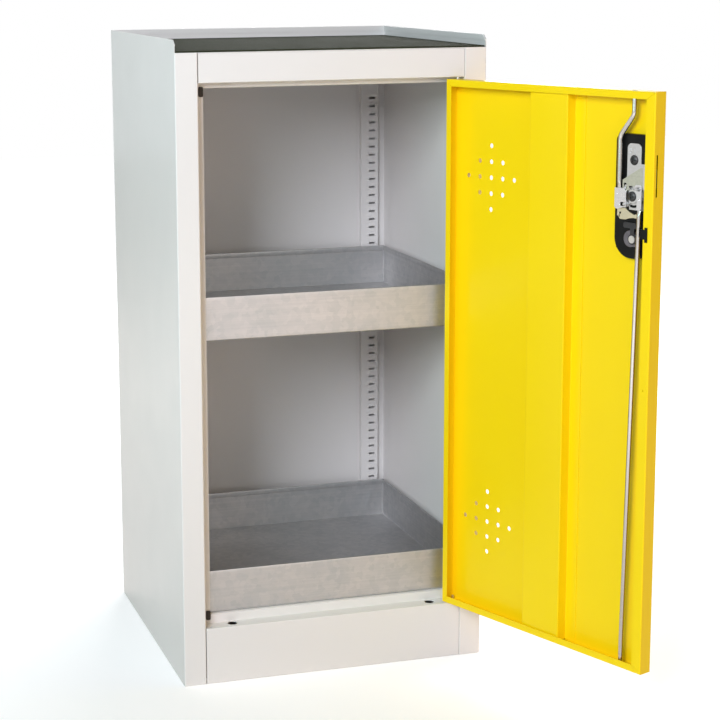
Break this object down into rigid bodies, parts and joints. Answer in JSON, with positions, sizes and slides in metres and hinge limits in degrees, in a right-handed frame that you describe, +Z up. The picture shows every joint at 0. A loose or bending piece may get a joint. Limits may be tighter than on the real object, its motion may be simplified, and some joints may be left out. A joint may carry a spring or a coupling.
{
  "type": "chemical storage cabinet",
  "caption": "Free-standing sheet-steel chemical cabinet with a ventilated hinged door, spill-tray shelves, a rimmed roof mat and a lever-worked lock that throws rods and a side bolt.",
  "frame": {"origin": "on the floor under the middle of the cabinet's front face, on the plinth's turned-in foot", "axes": "+Z up; +Y into the cabinet, from the doorway to the rear panel; +X to the right seen from the front, towards the door's hinge side"},
  "size_m": [0.6693, 0.9414, 1.105],
  "materials": {
    "carcass_paint": "gloss",
    "door_paint": "gloss",
    "galvanised": "satin",
    "zinc": "satin",
    "black_steel": "satin",
    "lock_alloy": "satin",
    "core_alloy": "satin",
    "brass_plate": "satin",
    "black_plastic": "matte",
    "mat_rubber": "matte",
    "buffer_rubber": "matte"
  },
  "bodies": {
    "cabinet": {"left_side": "carcass_paint", "right_side": "carcass_paint", "rear_panel": "carcass_paint", "roof_panel": "carcass_paint", "header_rail": "carcass_paint", "sill_rail": "carcass_paint", "floor_panel": "carcass_paint", "upright_rear_left": "carcass_paint", "upright_rear_right": "carcass_paint", "upright_front_left": "carcass_paint", "upright_front_right": "carcass_paint", "shelf_clips": "zinc", "top_mat": "mat_rubber", "door_buffers": "buffer_rubber", "hinge_pins": "zinc", "hinge_washer": "black_plastic"},
    "door": {"door_panel": "door_paint", "door_stiffener": "door_paint", "pivot_plates": "door_paint", "rod_guides": "black_plastic", "lock_housing": "black_plastic", "lock_base_plate": "zinc", "lock_screws": "black_steel", "lock_cylinder": "lock_alloy", "lock_keeper": "brass_plate", "bolt_guide": "zinc"},
    "handle": {"handle_lever": "black_plastic", "handle_spindle": "zinc", "lock_crank": "zinc", "spindle_screw": "black_steel"},
    "upper_lock_rod": {"upper_rod": "zinc", "upper_link": "zinc"},
    "lower_lock_rod": {"lower_rod": "zinc", "lower_link": "zinc"},
    "side_lock_bolt": {"side_bolt": "zinc"},
    "lock_key_core": {"lock_core": "core_alloy", "lock_cam": "black_steel"},
    "upper_spill_tray": {"upper_tray": "galvanised"},
    "lower_spill_tray": {"lower_tray": "galvanised"}
  },
  "joints": [
    {"name": "door_hinge", "type": "hinge", "parent": "cabinet", "child": "door", "pos_m": [0.2228, 0.0053, 0.5], "axis": [0, 0, 1], "range_deg": [-112, 8]},
    {"name": "handle_turn", "type": "hinge", "parent": "door", "child": "handle", "pos_m": [0.37861, -0.36618, 0.867], "axis": [0.9272, 0.3746, 0], "range_deg": [0, 90]},
    {"name": "upper_rod_slide", "type": "slide", "parent": "door", "child": "upper_lock_rod", "axis": [0, 0, 1], "range_m": [0, 0.02548]},
    {"name": "lower_rod_slide", "type": "slide", "parent": "door", "child": "lower_lock_rod", "axis": [0, 0, -1], "range_m": [0, 0.02548]},
    {"name": "side_bolt_slide", "type": "slide", "parent": "door", "child": "side_lock_bolt", "axis": [0.3746, -0.9272, 0], "range_m": [0, 0.02548]},
    {"name": "key_turn", "type": "hinge", "parent": "door", "child": "lock_key_core", "pos_m": [0.37935, -0.36804, 0.8], "axis": [-0.9272, -0.3746, 0], "range_deg": [0, 90]},
    {"name": "upper_tray_lift", "type": "slide", "parent": "cabinet", "child": "upper_spill_tray", "axis": [0, 0, 1], "range_m": [0, 0.04]},
    {"name": "lower_tray_lift", "type": "slide", "parent": "cabinet", "child": "lower_spill_tray", "axis": [0, 0, 1], "range_m": [0, 0.04]}
  ],
  "couplings": [
    {"joint": "upper_rod_slide", "follows": "handle_turn", "m_per_rad": 0.016206},
    {"joint": "lower_rod_slide", "follows": "handle_turn", "m_per_rad": 0.016206},
    {"joint": "side_bolt_slide", "follows": "handle_turn", "m_per_rad": 0.016206}
  ]
}
